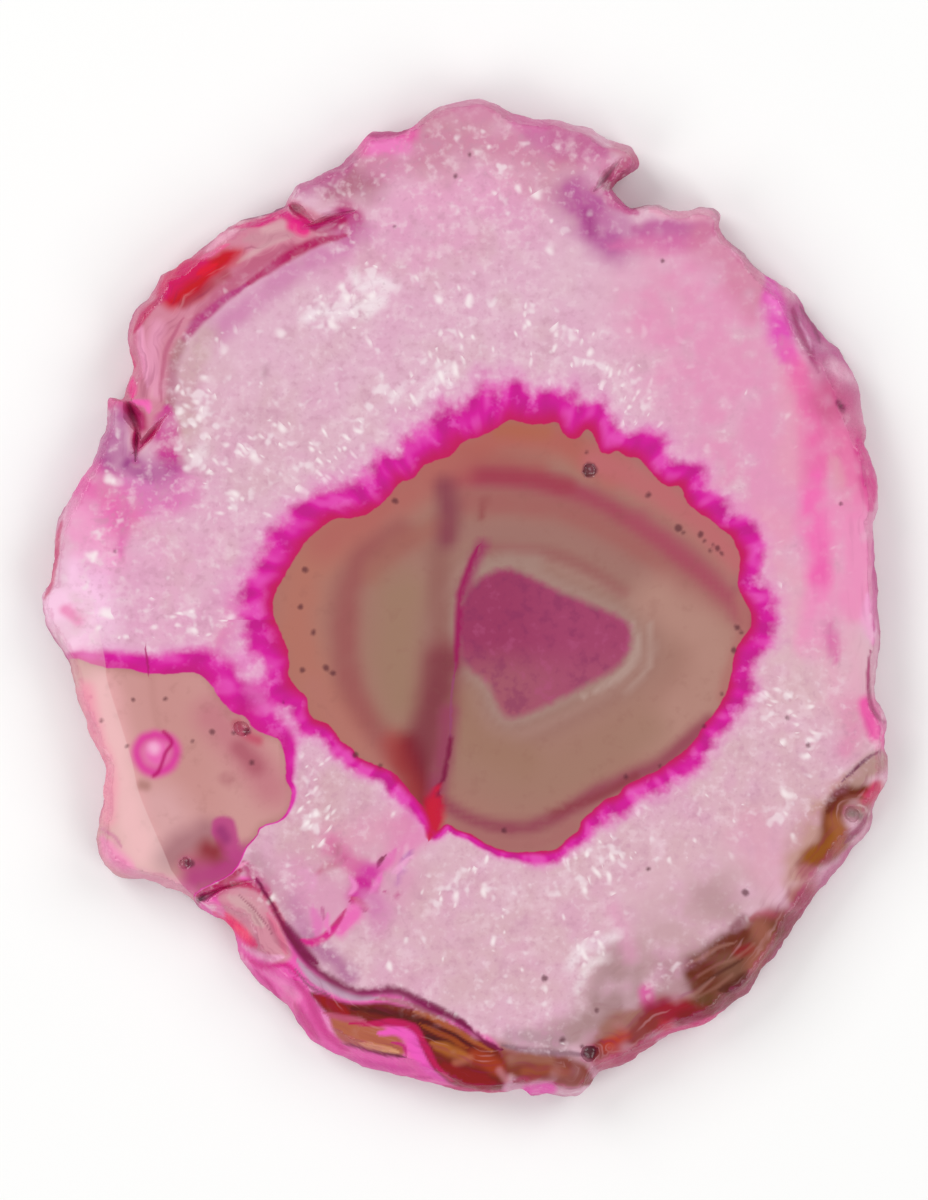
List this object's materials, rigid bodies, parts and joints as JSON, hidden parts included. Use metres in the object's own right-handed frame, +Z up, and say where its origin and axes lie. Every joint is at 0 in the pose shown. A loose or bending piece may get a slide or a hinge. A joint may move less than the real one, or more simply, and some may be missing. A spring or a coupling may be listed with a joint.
{
  "type": "agate slice",
  "caption": "Flat slice sawn across a pink-dyed agate nodule, both faces polished and the natural rim left rough.",
  "frame": {"origin": "middle of the bounding box, on the polished face that the slice lies on", "axes": "+X across the slice, +Y along its longest way towards the narrow crown with the chipped shoulder, +Z up out of the upper polished face"},
  "size_m": [0.085, 0.1002, 0.0055],
  "materials": {
    "stone": "polished"
  },
  "bodies": {
    "root": {"agate_slice": "stone"}
  },
  "joints": []
}
